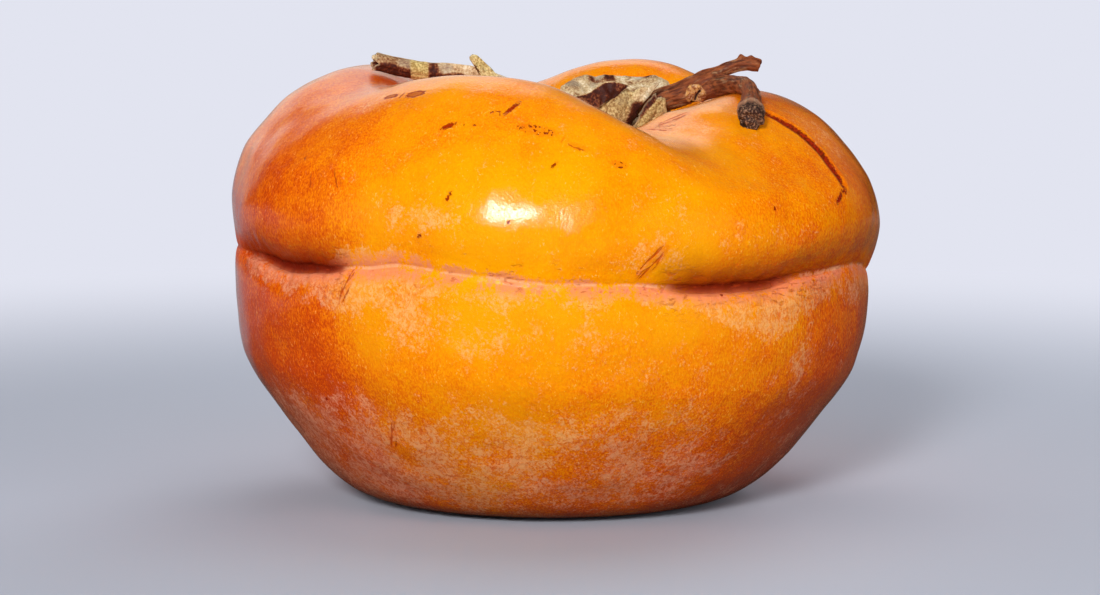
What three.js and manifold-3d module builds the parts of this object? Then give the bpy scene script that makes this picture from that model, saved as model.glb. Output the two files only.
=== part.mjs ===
// A ripe persimmon of the flattened, millstone-shaped kind: a broad fruit with four lobes round its
// top and a fold round its waist, the dried calyx in the hollow at the top with its four sepals, and
// the woody stalk with the forked stub of twig that it was picked with.
// Millimetres, +Z up. The origin is the middle of the flat spot that the fruit rests on, +X is the
// side that the stalk leans to and -Y is the front.
import * as THREE from "three";
import Module from "manifold-3d";
import { mergeVertices } from "three/addons/utils/BufferGeometryUtils.js";

const wasm = await Module();
wasm.setup();

const GAP = 0.3; // clear space between pieces that touch
const DEGREE = Math.PI / 180;

// The fruit. Its outline is drawn at every azimuth, in three stretches that meet: the underside, from
// the blossom end out to the flat spot's edge, then from there up to the fold, and then over the
// shoulder and the rim down into the hollow.
const FRUIT_COLUMNS = 96;
const WAIST_RADIUS = 46.4; // at the fold, where the fold has no depth
const SHOULDER_HEIGHT = 41.4; // the widest place
const RIM_RADIUS = 28.3;
const RIM_HEIGHT = 61.4;
const HOLLOW_FLOOR = 50.6;
const HOLLOW_SHIFT = 7; // how far the hollow sits towards +X
const SHOULDER_SHIFT = 0.6; // the same for the shoulder
const LEAN = 0.042; // drop in height per millimetre towards +X, fading out at the flat spot
const FRONT_TO_BACK = 0.965; // depth as a share of width
const BLOSSOM_PIT = [
  [2.2, 1],
  [5, 0],
  [13, 0],
]; // radius, height
const BLOSSOM_PIT_DEPTH = 1.2;

// Radius, height, and the number of rings up to the next knot.
const BELLY_OUTLINE = [
  [21, 0, 2],
  [28, 1.2, 2],
  [34.2, 5.7, 2],
  [40.2, 13.5, 2],
  [44.2, 20.2, 2],
  [45.9, 27, 2],
];
const LIP_BELOW_FOLD = 3.6;
const LIP_ABOVE_FOLD = 3.4;

// Radius and height, how far a millimetre of trough pulls the knot in and down, how much of a lobe's
// rise it takes, how far round the trough has swung there as a share, and the rings to the next knot.
const SHOULDER_OUTLINE = [
  { radius: 47.4, height: SHOULDER_HEIGHT, pull: 0.08, drop: 0, lift: 0, swing: 1, rings: 2 },
  { radius: 46.1, height: 46.7, pull: 0.2, drop: 0.05, lift: 0, swing: 1, rings: 2 },
  { radius: 43.1, height: 51.8, pull: 0.26, drop: 0.35, lift: 0.2, swing: 1, rings: 2 },
  { radius: 38.6, height: 56.8, pull: 0.2, drop: 0.7, lift: 0.5, swing: 0.7, rings: 2 },
  { radius: 33.8, height: 59.8, pull: 0.06, drop: 0.82, lift: 0.8, swing: 0.35, rings: 2 },
  { radius: RIM_RADIUS, height: RIM_HEIGHT, pull: 0, drop: 1, lift: 1, swing: 0, rings: 2 },
];

// Radius, height as a share of the way from the hollow's floor to the rim, rings to the next knot.
const HOLLOW_OUTLINE = [
  [23, 0.86, 2],
  [17.8, 0.5, 2],
  [13.4, 0.17, 2],
  [8.5, 0.03, 1],
  [0, 0, 0],
];

// The fold round the waist: azimuth in degrees from +X towards +Y, height, depth.
const FOLD = [
  [0, 34.6, 1.5],
  [28, 35.2, 1.2],
  [62, 34.4, 1.8],
  [98, 35.4, 0.9],
  [135, 34.8, 1.9],
  [168, 35.2, 1.0],
  [190, 34.8, 1.2],
  [215, 34.6, 2.7],
  [229, 35.3, 2.2],
  [243, 37.0, 0.8],
  [257, 36.0, 0.3],
  [270, 35.4, 0.3],
  [283, 35.9, 0.7],
  [297, 35.0, 2.2],
  [309, 35.6, 2.6],
  [322, 37.2, 1.7],
  [338, 36.8, 1.0],
];

// The lobes: azimuth of each crest, and its height against RIM_HEIGHT.
const LOBES = [
  [60, 1.9],
  [166, 0.1],
  [248, 0.35],
  [358, -1.1],
];

// The troughs between them: azimuth, depth at the rim, half-widths before and after in degrees, and how
// far the trough swings round on its way down the outside.
const TROUGHS = [
  [28, 2.6, 22, 17, 8],
  [113, 5.8, 26, 24, 12],
  [208, 2.6, 19, 19, 10],
  [292, 6.3, 21, 26, 40],
];

// The calyx: a domed disc in the hollow, and four dried sepals that grow from it. The left one is long,
// and rolled into a quill towards its tip, with a torn strip that stands up from it. The front one
// stands in a crumpled fan, with a fold of it hanging over on the left.
const CALYX_X = 7.6;
const CALYX_Y = 0.5;
const DISC_TOP = 53.4;
const DISC_COLUMNS = 48;
const DISC_UNDER = [1.5, 3, 4.5, 6]; // radii
const DISC_OVER = [
  [6.7, 2],
  [7, 1.5],
  [6.6, 0.9],
  [5, 0.45],
  [2.5, 0.1],
]; // radius, drop from DISC_TOP
const DISC_LOBING = 0.05; // how far the disc's rim reaches out under each sepal, as a share
const SEPAL_THICKNESS = 0.7;

// The middle, half-width, roll of the far and the near side in degrees, and tilt about its length.
const LEFT_SEPAL = [
  [[3.4, 0.6, 52.9], 4.2, 20, 25, 0],
  [[-2, 1.2, 55.4], 6.5, 40, 50, 0],
  [[-8, 2.2, 57.6], 6.2, 70, 80, 0],
  [[-14, 3.2, 58.7], 5.4, 110, 120, 0],
  [[-20, 3.8, 60.4], 4.0, 150, 150, 0],
  [[-26.6, 4.2, 61.9], 3.4, 162, 162, 0],
];

// Each row of the others runs across the sepal, from the root to the tip.
const LEFT_STRIP = [
  [[-9.8, -2.3, 60.4], [-6.0, -2.5, 60.0]],
  [[-10.4, -2.2, 62.0], [-7.4, -2.3, 61.6]],
  [[-10.9, -2.0, 63.2], [-9.2, -2.1, 63.1]],
  [[-11.4, -1.8, 64.3], [-10.7, -1.8, 64.3]],
];
const FRONT_SEPAL = [
  [[4.4, -2.8, 52.9], [6.4, -4.2, 52.6], [9.2, -4.2, 52.6], [11.0, -3.0, 52.9]],
  [[4.6, -7.2, 56.0], [7.4, -7.6, 55.6], [10.2, -7.2, 55.2], [12.2, -5.6, 55.4]],
  [[6.0, -7.4, 58.2], [8.6, -7.4, 58.2], [11.4, -6.6, 57.8], [13.4, -5.4, 57.4]],
  [[7.2, -6.6, 60.2], [9.6, -6.4, 60.0], [12.6, -5.4, 59.4], [16.2, -4.6, 60.6]],
];
const FRONT_FOLD = [
  [[2.2, -7.4, 58.4], [5.2, -8.6, 58.9], [8.2, -8.0, 60.6], [11.2, -7.0, 60.0]],
  [[3.2, -8.4, 57.6], [6.2, -9.2, 57.6], [8.4, -8.6, 58.8], [10.4, -7.4, 59.2]],
  [[4.6, -8.6, 56.4], [6.4, -9.2, 56.6], [8.0, -8.8, 57.6], [9.6, -7.8, 58.4]],
];
const RIGHT_SEPAL = [
  [[11.4, -3.0, 52.8], [12.4, -1.2, 52.6], [12.6, 1.6, 52.6], [11.6, 4.2, 52.8]],
  [[14.0, -4.3, 56.4], [15.2, -2.6, 54.3], [16.2, 1.6, 54.1], [15.6, 6.2, 54.9]],
  [[15.7, -4.2, 57.6], [17.8, -3.6, 55.0], [19.6, 1.6, 55.0], [18.6, 7.0, 56.2]],
  [[17.0, -4.0, 57.0], [20.2, -3.6, 56.4], [23.0, 1.8, 57.4], [21.4, 6.8, 58.2]],
];
const BACK_SEPAL = [
  [[4.4, 3.6, 52.8], [6.4, 5.0, 52.6], [9.4, 5.0, 52.6], [11.2, 3.8, 52.8]],
  [[1.6, 8.6, 56.6], [6.4, 9.8, 55.8], [11.6, 9.6, 56.0], [17.0, 8.0, 57.0]],
  [[1.8, 12.4, 59.0], [6.6, 13.6, 58.6], [12.4, 13.6, 58.6], [18.0, 12.0, 59.2]],
  [[4.4, 15.0, 60.2], [8.0, 16.4, 60.4], [12.4, 16.4, 60.3], [16.8, 14.8, 60.2]],
];

// The stalk, from its foot on the disc, and the two stubs of the twig: points and radii.
const STEM_COLUMNS = 24;
const STALK_FOOT = [
  [[CALYX_X, CALYX_Y, DISC_TOP + GAP], 2.8],
  [[CALYX_X, CALYX_Y, DISC_TOP + 1.1], 2.4],
  [[CALYX_X, CALYX_Y, DISC_TOP + 2.3], 2.1],
  [[CALYX_X, CALYX_Y, DISC_TOP + 3.6], 1.3],
];
const STALK = [
  [[6.9, 0.5, 56.0], 1.5],
  [[8.4, 0.4, 56.1], 2.05],
  [[12.2, -0.2, 56.7], 2.0],
  [[16.1, -1.0, 57.6], 1.95],
  [[19.9, -1.8, 59.1], 1.95],
  [[23.2, -2.3, 60.6], 1.7],
  [[24.4, -2.4, 61.0], 1.2],
];
const UPPER_TWIG = [
  [[19.0, -1.7, 59.0], 1.2],
  [[22.6, -2.1, 61.0], 1.15],
  [[25.9, -2.4, 62.3], 0.9],
  [[28.1, -2.5, 62.9], 1.0],
  [[29.4, -2.5, 62.8], 1.05],
  [[30.3, -2.5, 62.6], 0.9],
];
const LOWER_TWIG = [
  [[20.0, -1.9, 59.0], 1.5],
  [[23.6, -2.8, 60.4], 1.45],
  [[25.6, -5.0, 60.6], 1.25],
  [[26.9, -8.0, 60.7], 1.25],
  [[27.7, -11.2, 60.4], 1.3],
  [[28.1, -14.4, 59.6], 1.4],
  [[28.1, -17.4, 58.2], 1.55],
  [[27.9, -20.2, 57.0], 1.85],
  [[27.8, -22.2, 55.9], 1.75],
];

// The angle from b to a, from -180 to 180 degrees.
function turn(a, b) {
  return THREE.MathUtils.euclideanModulo(a - b + 180, 360) - 180;
}

// The value in one column of a closed ring of stations sorted by azimuth, eased from one to the next.
function around(stations, azimuth, column) {
  const found = stations.findIndex((station) => station[0] > azimuth);
  const next = found < 0 ? 0 : found;
  const after = stations[next];
  const before = stations[(next + stations.length - 1) % stations.length];
  const span = THREE.MathUtils.euclideanModulo(after[0] - before[0], 360);
  const share = THREE.MathUtils.euclideanModulo(azimuth - before[0], 360) / span;
  return THREE.MathUtils.lerp(before[column], after[column], share * share * (3 - 2 * share));
}

// The depth of the troughs at one azimuth, a share of the way down the outside.
function troughDepth(azimuth, share) {
  return TROUGHS.reduce((sum, [at, depth, before, after, swing]) => {
    const off = turn(azimuth, at + share * swing);
    return sum + depth * Math.exp(-((off / (off < 0 ? before : after)) ** 2));
  }, 0);
}

// The rings of points along a smooth line through knots of radius, height and ring count.
function stretch(knots) {
  const curve = new THREE.SplineCurve(knots.map(([radius, height]) => new THREE.Vector2(radius, height)));
  return knots.slice(0, -1).flatMap(([, , rings], i) =>
    Array.from({ length: rings }, (_, k) => curve.getPoint((i + k / rings) / (knots.length - 1))),
  );
}

// The fruit's outline at one azimuth, without the two poles.
function outline(azimuth) {
  const fold = around(FOLD, azimuth, 1);
  const depth = around(FOLD, azimuth, 2);
  const lobe = around(LOBES, azimuth, 1);
  const rim = RIM_HEIGHT + lobe - troughDepth(azimuth, 0);
  const crease = WAIST_RADIUS - depth;
  const belly = [
    ...BELLY_OUTLINE,
    [46.1 - 0.12 * depth, fold - LIP_BELOW_FOLD, 3],
    [crease, fold, 0],
  ];
  const shoulder = [
    [crease, fold, 3],
    [46.9 - 0.18 * depth, fold + LIP_ABOVE_FOLD, 2],
    ...SHOULDER_OUTLINE.map((knot) => {
      const trough = troughDepth(azimuth, knot.swing);
      const height = knot.height + knot.lift * lobe - knot.drop * trough;
      return [knot.radius - knot.pull * trough, height, knot.rings];
    }),
    ...HOLLOW_OUTLINE.map(([radius, share, rings]) => {
      return [radius, THREE.MathUtils.lerp(HOLLOW_FLOOR, rim, share), rings];
    }),
  ];
  const pit = BLOSSOM_PIT.map(([radius, height]) => new THREE.Vector2(radius, height));
  return [...pit, ...stretch(belly), ...stretch(shoulder)];
}

// A point of the outline put in its place round the fruit.
function place(azimuth, radius, height) {
  const inward = 1 - THREE.MathUtils.smoothstep(radius, 8, RIM_RADIUS);
  const hollow = THREE.MathUtils.smoothstep(height, HOLLOW_FLOOR - 8, HOLLOW_FLOOR - 2);
  const shoulder = THREE.MathUtils.smoothstep(height, SHOULDER_HEIGHT - 16, SHOULDER_HEIGHT);
  const shift = SHOULDER_SHIFT * shoulder + HOLLOW_SHIFT * inward * hollow;
  const x = radius * Math.cos(azimuth * DEGREE) + shift;
  const y = radius * Math.sin(azimuth * DEGREE) * FRONT_TO_BACK;
  const lean = LEAN * x * THREE.MathUtils.smoothstep(height, 0, SHOULDER_HEIGHT);
  return new THREE.Vector3(x, y, height - lean);
}

// A closed surface from rings of points that all turn the same way, with a pole at each end.
function closedRings(bottom, rings, top) {
  const columns = rings[0].length;
  const points = [bottom, ...rings.flat(), top];
  const at = (ring, column) => 1 + ring * columns + (column % columns);
  const index = [];
  for (let c = 0; c < columns; c++) {
    index.push(0, at(0, c + 1), at(0, c));
    index.push(points.length - 1, at(rings.length - 1, c), at(rings.length - 1, c + 1));
    for (let r = 0; r < rings.length - 1; r++) {
      index.push(at(r, c), at(r, c + 1), at(r + 1, c + 1));
      index.push(at(r, c), at(r + 1, c + 1), at(r + 1, c));
    }
  }
  return new THREE.BufferGeometry().setFromPoints(points).setIndex(index);
}

function fruitGeometry() {
  const azimuths = Array.from({ length: FRUIT_COLUMNS }, (_, c) => (360 * c) / FRUIT_COLUMNS);
  const outlines = azimuths.map(outline);
  const rings = outlines[0].map((_, r) =>
    azimuths.map((azimuth, c) => place(azimuth, outlines[c][r].x, outlines[c][r].y)),
  );
  return closedRings(new THREE.Vector3(0, 0, BLOSSOM_PIT_DEPTH), rings, place(0, 0, HOLLOW_FLOOR));
}

// The height of the fruit's top above a point of the plan.
const fruit = new THREE.Mesh(fruitGeometry(), new THREE.MeshBasicMaterial());
const plumbLine = new THREE.Raycaster();
function skinHeight(x, y) {
  plumbLine.set(new THREE.Vector3(x, y, 2 * RIM_HEIGHT), new THREE.Vector3(0, 0, -1));
  return plumbLine.intersectObject(fruit)[0].point.z;
}

// A domed disc whose underside follows the floor of the hollow.
function discGeometry() {
  const middle = (height) => new THREE.Vector3(CALYX_X, CALYX_Y, height);
  const ring = (radius, heightAt) =>
    Array.from({ length: DISC_COLUMNS }, (_, c) => {
      const azimuth = ((360 * c) / DISC_COLUMNS) * DEGREE;
      const reach = radius * (1 + DISC_LOBING * Math.cos(4 * azimuth));
      const x = CALYX_X + reach * Math.cos(azimuth);
      const y = CALYX_Y + reach * Math.sin(azimuth);
      return new THREE.Vector3(x, y, heightAt(x, y));
    });
  const under = DISC_UNDER.map((radius) => ring(radius, (x, y) => skinHeight(x, y) + GAP));
  const over = DISC_OVER.map(([radius, drop]) => ring(radius, () => DISC_TOP - drop));
  const bottom = middle(skinHeight(CALYX_X, CALYX_Y) + GAP);
  return closedRings(bottom, [...under, ...over], middle(DISC_TOP));
}

// A fine grid of points on the smooth surface through a coarse grid of them.
function fineGrid(coarse, rows, columns) {
  const crossings = coarse.map((row) => new THREE.CatmullRomCurve3(row.map((p) => new THREE.Vector3(...p))));
  const lines = Array.from({ length: columns + 1 }, (_, c) => {
    return new THREE.CatmullRomCurve3(crossings.map((curve) => curve.getPoint(c / columns)));
  });
  return Array.from({ length: rows + 1 }, (_, r) => lines.map((line) => line.getPoint(r / rows)));
}

// Coarse rows for a strap that rolls up along its two sides.
function strap(stations, columns) {
  const spine = new THREE.CatmullRomCurve3(stations.map(([middle]) => new THREE.Vector3(...middle)));
  return stations.map(([middle, half, rollFar, rollNear, tilt], i) => {
    const along = spine.getTangent(i / (stations.length - 1));
    const side = new THREE.Vector3(0, 0, 1).cross(along).normalize();
    side.applyAxisAngle(along, tilt * DEGREE);
    const up = along.clone().cross(side);
    return Array.from({ length: columns + 1 }, (_, c) => {
      const across = 1 - (2 * c) / columns;
      const roll = (across < 0 ? rollFar : rollNear) * DEGREE;
      const point = new THREE.Vector3(...middle);
      point.addScaledVector(side, (half / roll) * Math.sin(across * roll));
      point.addScaledVector(up, (half / roll) * (1 - Math.cos(across * roll)));
      return point.toArray();
    });
  });
}

// A thin closed sheet with a grid of points as its upper face, kept clear of the fruit.
function sheet(grid) {
  const rows = grid.length - 1;
  const columns = grid[0].length - 1;
  const lift = (point, clear) => point.setZ(Math.max(point.z, skinHeight(point.x, point.y) + clear));
  const upper = grid.map((row) => row.map((point) => lift(point.clone(), GAP + SEPAL_THICKNESS)));
  const lower = grid.map((row, r) =>
    row.map((point, c) => {
      const along = grid[Math.min(r + 1, rows)][c].clone().sub(grid[Math.max(r - 1, 0)][c]);
      const across = grid[r][Math.min(c + 1, columns)].clone().sub(grid[r][Math.max(c - 1, 0)]);
      const normal = along.cross(across).normalize();
      return lift(point.clone().addScaledVector(normal, -SEPAL_THICKNESS), GAP);
    }),
  );
  const at = (r, c) => r * (columns + 1) + c;
  const under = (r, c) => at(r, c) + (rows + 1) * (columns + 1);
  const index = [];
  const quad = (a, b, c, d) => index.push(a, b, c, a, c, d);
  for (let r = 0; r < rows; r++) {
    for (let c = 0; c < columns; c++) {
      quad(at(r, c), at(r + 1, c), at(r + 1, c + 1), at(r, c + 1));
      quad(under(r, c), under(r, c + 1), under(r + 1, c + 1), under(r + 1, c));
    }
    quad(at(r, 0), under(r, 0), under(r + 1, 0), at(r + 1, 0));
    quad(at(r, columns), at(r + 1, columns), under(r + 1, columns), under(r, columns));
  }
  for (let c = 0; c < columns; c++) {
    quad(at(0, c), at(0, c + 1), under(0, c + 1), under(0, c));
    quad(at(rows, c), under(rows, c), under(rows, c + 1), at(rows, c + 1));
  }
  return new THREE.BufferGeometry().setFromPoints([...upper.flat(), ...lower.flat()]).setIndex(index);
}

// A round bar with a changing radius along a smooth line.
function bar(stations, steps) {
  const spine = new THREE.CatmullRomCurve3(stations.map(([point]) => new THREE.Vector3(...point)));
  const sizes = new THREE.SplineCurve(stations.map(([, radius], i) => new THREE.Vector2(i, radius)));
  const side = new THREE.Vector3(0, 1, 0);
  const rings = Array.from({ length: steps + 1 }, (_, i) => {
    const along = spine.getTangent(i / steps);
    side.addScaledVector(along, -side.dot(along)).normalize();
    const up = along.clone().cross(side);
    const radius = sizes.getPoint(i / steps).y;
    return Array.from({ length: STEM_COLUMNS }, (_, c) => {
      const angle = ((360 * c) / STEM_COLUMNS) * DEGREE;
      const point = spine.getPoint(i / steps);
      point.addScaledVector(side, radius * Math.cos(angle));
      return point.addScaledVector(up, radius * Math.sin(angle));
    });
  });
  return closedRings(spine.getPoint(0), rings, spine.getPoint(1));
}

// Several solids that run into each other as one.
function union(geometries) {
  const solids = geometries.map((geometry) => {
    const { attributes, index } = mergeVertices(geometry);
    const vertProperties = new Float32Array(attributes.position.array);
    return new wasm.Manifold(
      new wasm.Mesh({ numProp: 3, vertProperties, triVerts: new Uint32Array(index.array) }),
    );
  });
  const mesh = solids.reduce((sum, solid) => sum.add(solid)).getMesh();
  const geometry = new THREE.BufferGeometry();
  geometry.setAttribute("position", new THREE.BufferAttribute(mesh.vertProperties, 3));
  return geometry.setIndex(new THREE.BufferAttribute(mesh.triVerts, 1));
}

function calyxGeometry() {
  return union([
    discGeometry(),
    sheet(fineGrid(strap(LEFT_SEPAL, 10), 18, 18)),
    sheet(fineGrid(LEFT_STRIP, 6, 3)),
    sheet(fineGrid(FRONT_SEPAL, 10, 12)),
    sheet(fineGrid(FRONT_FOLD, 6, 10)),
    sheet(fineGrid(RIGHT_SEPAL, 10, 10)),
    sheet(fineGrid(BACK_SEPAL, 12, 14)),
  ]);
}

function stemGeometry() {
  return union([bar(STALK_FOOT, 6), bar(STALK, 18), bar(UPPER_TWIG, 14), bar(LOWER_TWIG, 22)]);
}

const group = new THREE.Group();

function addPiece(name, geometry, color, roughness) {
  const material = new THREE.MeshStandardMaterial({ color, roughness, metalness: 0 });
  const mesh = new THREE.Mesh(geometry, material);
  mesh.name = name;
  group.add(mesh);
}

addPiece("fruit", fruitGeometry(), 0xe8820a, 0.35);
addPiece("calyx", calyxGeometry(), 0xb89a66, 0.85);
addPiece("stem", stemGeometry(), 0x8a5434, 0.85);

export default group;
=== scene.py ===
"""A ripe persimmon: a lobed, glossy fruit with a fold round its waist, a dried calyx in the hollow at
its top, and a forked woody stalk. The pieces stand where the CAD nodes are. Shapes are worked out in
millimetres, +Z up and -Y to the front, and become metres where a mesh is made."""

import math
from functools import partial, reduce

import bpy
import numpy as np
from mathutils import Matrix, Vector
from mathutils.bvhtree import BVHTree
from numpy.linalg import norm


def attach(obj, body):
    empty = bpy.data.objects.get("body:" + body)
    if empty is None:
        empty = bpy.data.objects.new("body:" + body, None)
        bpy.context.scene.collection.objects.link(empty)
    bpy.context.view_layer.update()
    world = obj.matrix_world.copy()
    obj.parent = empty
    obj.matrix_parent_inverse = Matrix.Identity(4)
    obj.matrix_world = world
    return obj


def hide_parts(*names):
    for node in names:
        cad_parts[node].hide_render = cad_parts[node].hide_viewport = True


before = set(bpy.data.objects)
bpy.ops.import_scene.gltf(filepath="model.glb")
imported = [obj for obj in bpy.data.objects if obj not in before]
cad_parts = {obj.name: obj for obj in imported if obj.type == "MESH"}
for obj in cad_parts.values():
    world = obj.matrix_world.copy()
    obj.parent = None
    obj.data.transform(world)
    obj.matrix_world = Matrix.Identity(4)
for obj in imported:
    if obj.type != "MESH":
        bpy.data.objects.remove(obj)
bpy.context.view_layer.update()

MM = 0.001


# ---- smooth lines and noise


def ease(value, low, high):
    """Eases from 0 to 1 as value goes from low to high."""
    share = np.clip((value - low) / (high - low), 0, 1)
    return share * share * (3 - 2 * share)


def bell(value, width):
    """1 where value is 0, and about a third at a width from there."""
    return np.exp(-((value / width) ** 2))


def turn(a, b):
    """The angle from b to a, from -180 to 180 degrees."""
    return (a - b + 180) % 360 - 180


def around(stations, azimuths, column):
    """One column of a closed ring of stations sorted by azimuth, eased from one to the next."""
    table = np.array(stations, float)
    after = np.searchsorted(table[:, 0], azimuths, side="right") % len(table)
    before = after - 1
    span = (table[after, 0] - table[before, 0]) % 360
    share = ease((azimuths - table[before, 0]) % 360, 0, span)
    return table[before, column] + (table[after, column] - table[before, column]) * share


def basis(spots, last):
    """The four knots that shape a smooth line at each spot, and their weights."""
    start = np.clip(np.floor(spots), 0, last - 1)
    w = spots - start
    index = np.clip(start[..., None].astype(int) + np.arange(-1, 3), 0, last)
    weights = [-w + 2 * w**2 - w**3, 2 - 5 * w**2 + 3 * w**3, w + 4 * w**2 - 3 * w**3, w**3 - w**2]
    return index, np.stack(weights, -1) / 2


def spline(knots, spots):
    """The smooth line through knots, which lie along the first axis, at spots counted in knots."""
    knots = np.asarray(knots, float)
    index, weights = basis(np.asarray(spots, float), len(knots) - 1)
    return np.einsum("ni,ni...->n...", weights, knots[index])


def patch(coarse, down, across):
    """Points of the smooth surface through a coarse grid, at shares of the way down and across it."""
    coarse = np.asarray(coarse, float)
    rows, row_weights = basis(down * (len(coarse) - 1), len(coarse) - 1)
    columns, column_weights = basis(across * (coarse.shape[1] - 1), coarse.shape[1] - 1)
    corners = coarse[rows[..., :, None], columns[..., None, :]]
    return np.einsum("...i,...j,...ijk->...k", row_weights, column_weights, corners)


def waves(points, shortest, longest, seed, count=40):
    """Smooth random relief over points with a spread of about 1, from waves of those lengths."""
    rng = np.random.default_rng(seed)
    directions = rng.normal(size=(count, 3))
    directions /= norm(directions, axis=1)[:, None]
    lengths = rng.uniform(shortest, longest, count)
    phases = rng.uniform(0, 2 * np.pi, count)
    total = np.sin(points @ (directions * (2 * np.pi / lengths)[:, None]).T + phases).sum(-1)
    return total * math.sqrt(2 / count)


def unit(vectors):
    return vectors / np.maximum(norm(vectors, axis=-1, keepdims=True), 1e-9)


def circle(radius, angles):
    return np.stack([radius * np.cos(angles), radius * np.sin(angles), 0 * angles], -1)


def grid_normals(points):
    return unit(np.cross(np.gradient(points, axis=0), np.gradient(points, axis=1)))


def make_mesh(name, points, faces, values):
    """A smooth-shaded mesh piece from millimetre points and faces, with named values at its points."""
    mesh = bpy.data.meshes.new(name)
    mesh.from_pydata((points * MM).tolist(), [], faces)
    mesh.shade_smooth()
    for label, value in values.items():
        single = value.ndim == 1
        attribute = mesh.attributes.new(label, "FLOAT" if single else "FLOAT_VECTOR", "POINT")
        attribute.data.foreach_set("value" if single else "vector", value.astype(np.float32).ravel())
    piece = bpy.data.objects.new(name, mesh)
    bpy.context.scene.collection.objects.link(piece)
    return piece


def ring_faces(rings, columns):
    """Quads between closed rings of points."""
    low = np.arange(rings - 1)[:, None] * columns + np.arange(columns)
    beside = np.arange(rings - 1)[:, None] * columns + (np.arange(columns) + 1) % columns
    return np.stack([low, beside, beside + columns, low + columns], -1).reshape(-1, 4).tolist()


def ring_spots(counts):
    """Spots counted in knots, with that many even steps from each knot to the next."""
    return np.concatenate([i + np.arange(count) / count for i, count in enumerate(counts)])


def closed(rings, ends):
    """Points and faces of rings, closed by a fan at either end round the points in ends."""
    points = np.concatenate([rings.reshape(-1, 3), ends])
    count, columns = rings.shape[:2]
    faces = ring_faces(count, columns)
    last = (count - 1) * columns
    for column in range(columns):
        beside = (column + 1) % columns
        faces.append((len(points) - 2, beside, column))
        faces.append((len(points) - 1, last + column, last + beside))
    return points, faces


# ---- the fruit

COLUMNS = 560
WAIST_RADIUS = 46.4
SHOULDER_HEIGHT = 41.4
RIM_RADIUS = 28.3
RIM_HEIGHT = 61.4
HOLLOW_FLOOR = 50.6
HOLLOW_SHIFT = 7
SHOULDER_SHIFT = 1.1
LEAN = 0.042
FRONT_TO_BACK = 0.965

# Radius, height, and the rings up to the next knot.
BLOSSOM_END = [(0, 1.2, 3), (2.2, 1, 3), (5, 0, 4), (13, 0, 5)]
BELLY = [(21, 0, 7), (28, 1.2, 8), (34.2, 5.7, 11), (40.2, 13.5, 10), (44.2, 20.2, 9), (46, 27, 6)]
# The lips of the fold: radius, pull in as a share of its depth, rise from the crease, and rings.
LOWER_LIP = (46.3, 0.12, -3.6, 13)
UPPER_LIP = (46.9, 0.18, 3.4, 5)
CREASE_RINGS = 13
# The shoulder rises with the fold where that runs higher than this.
LEVEL_FOLD = 35.4
FOLD_SMOOTHING = 60
SMOOTHING_STEP = 0.25

# Radius, height, a trough's pull in and drop, a lobe's lift, the swing of the troughs, and rings.
SHOULDER = [
    (47.8, SHOULDER_HEIGHT, 0.03, 0, 0, 1, 8),
    (46.5, 46.7, 0.08, 0.05, 0, 1, 8),
    (43.3, 51.8, 0.1, 0.36, 0.2, 1, 9),
    (38.6, 56.8, 0.1, 0.63, 0.5, 0.7, 8),
    (33.8, 59.8, 0.06, 0.82, 0.8, 0.35, 8),
    (RIM_RADIUS, RIM_HEIGHT, 0, 1, 1, 0, 8),
]
# Radius, height as a share of the way from the hollow's floor to the rim, the rise of the bank before
# the stalk, and rings.
HOLLOW = [(23, 0.86, 1.5, 7), (17.8, 0.5, 3.8, 6), (13.4, 0.17, 3, 4), (8.5, 0.03, 0, 4), (0, 0, 0, 0)]
BANK_AZIMUTH = 308
BANK_HALF = 22

# The fold round the waist: azimuth in degrees from +X towards +Y, height, depth.
FOLD = [
    (0, 34.8, 0.7), (26, 35.6, 0.8), (58, 33.9, 1.8), (92, 36.2, 0.5), (118, 35.8, 0.7),
    (146, 34.2, 1.7), (170, 35.6, 0.6), (190, 35.2, 0.6), (203, 35, 1.4), (215, 34.1, 2.2),
    (226, 34.7, 1.7), (236, 35.8, 0.9), (244, 36.6, 0.7), (257, 36, 0.4), (270, 35.4, 0.3),
    (283, 35.6, 0.8), (297, 34.7, 1.6), (309, 34.9, 1.6), (322, 36.4, 1.2), (338, 37, 0.8),
]
# Azimuth and rise of the rim.
LOBES = [(60, 1.9), (166, 0.1), (248, 0.35), (356, -0.7)]
# Azimuth, depth at the rim, half-widths before and after in degrees, swing round on the way down.
TROUGHS = [(28, 2.6, 22, 17, 8), (113, 5.8, 26, 24, 12), (208, 2.6, 19, 19, 10), (296, 7.2, 19, 25, 12)]

# How red the skin is from 0 to 1, by azimuth, at each of the heights.
# Partly the skin's own colour, partly painted shade: redder and darker towards the sides and the bottom.
TONE_HEIGHTS = (2, 12, 28, 42, 55)
TONE = [
    (0, 0.9, 0.85, 0.62, 0.45, 0.42), (40, 0.7, 0.6, 0.4, 0.3, 0.3), (90, 0.5, 0.4, 0.15, 0.1, 0.15),
    (140, 0.8, 0.8, 0.5, 0.4, 0.35), (180, 0.9, 0.95, 0.85, 0.75, 0.62), (197, 1, 1, 1, 0.9, 0.72),
    (210, 0.98, 0.98, 0.98, 0.82, 0.64), (225, 0.95, 0.88, 0.8, 0.62, 0.42),
    (240, 0.8, 0.56, 0.24, 0.15, 0.18), (255, 0.75, 0.46, 0.06, 0.05, 0.13),
    (270, 0.75, 0.46, 0.03, 0, 0.12), (285, 0.8, 0.52, 0.1, 0.08, 0.15),
    (300, 0.95, 0.7, 0.28, 0.21, 0.24), (315, 0.95, 0.82, 0.48, 0.33, 0.3),
    (330, 1, 0.95, 0.7, 0.46, 0.38), (345, 1, 0.98, 0.74, 0.5, 0.44),
]
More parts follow.
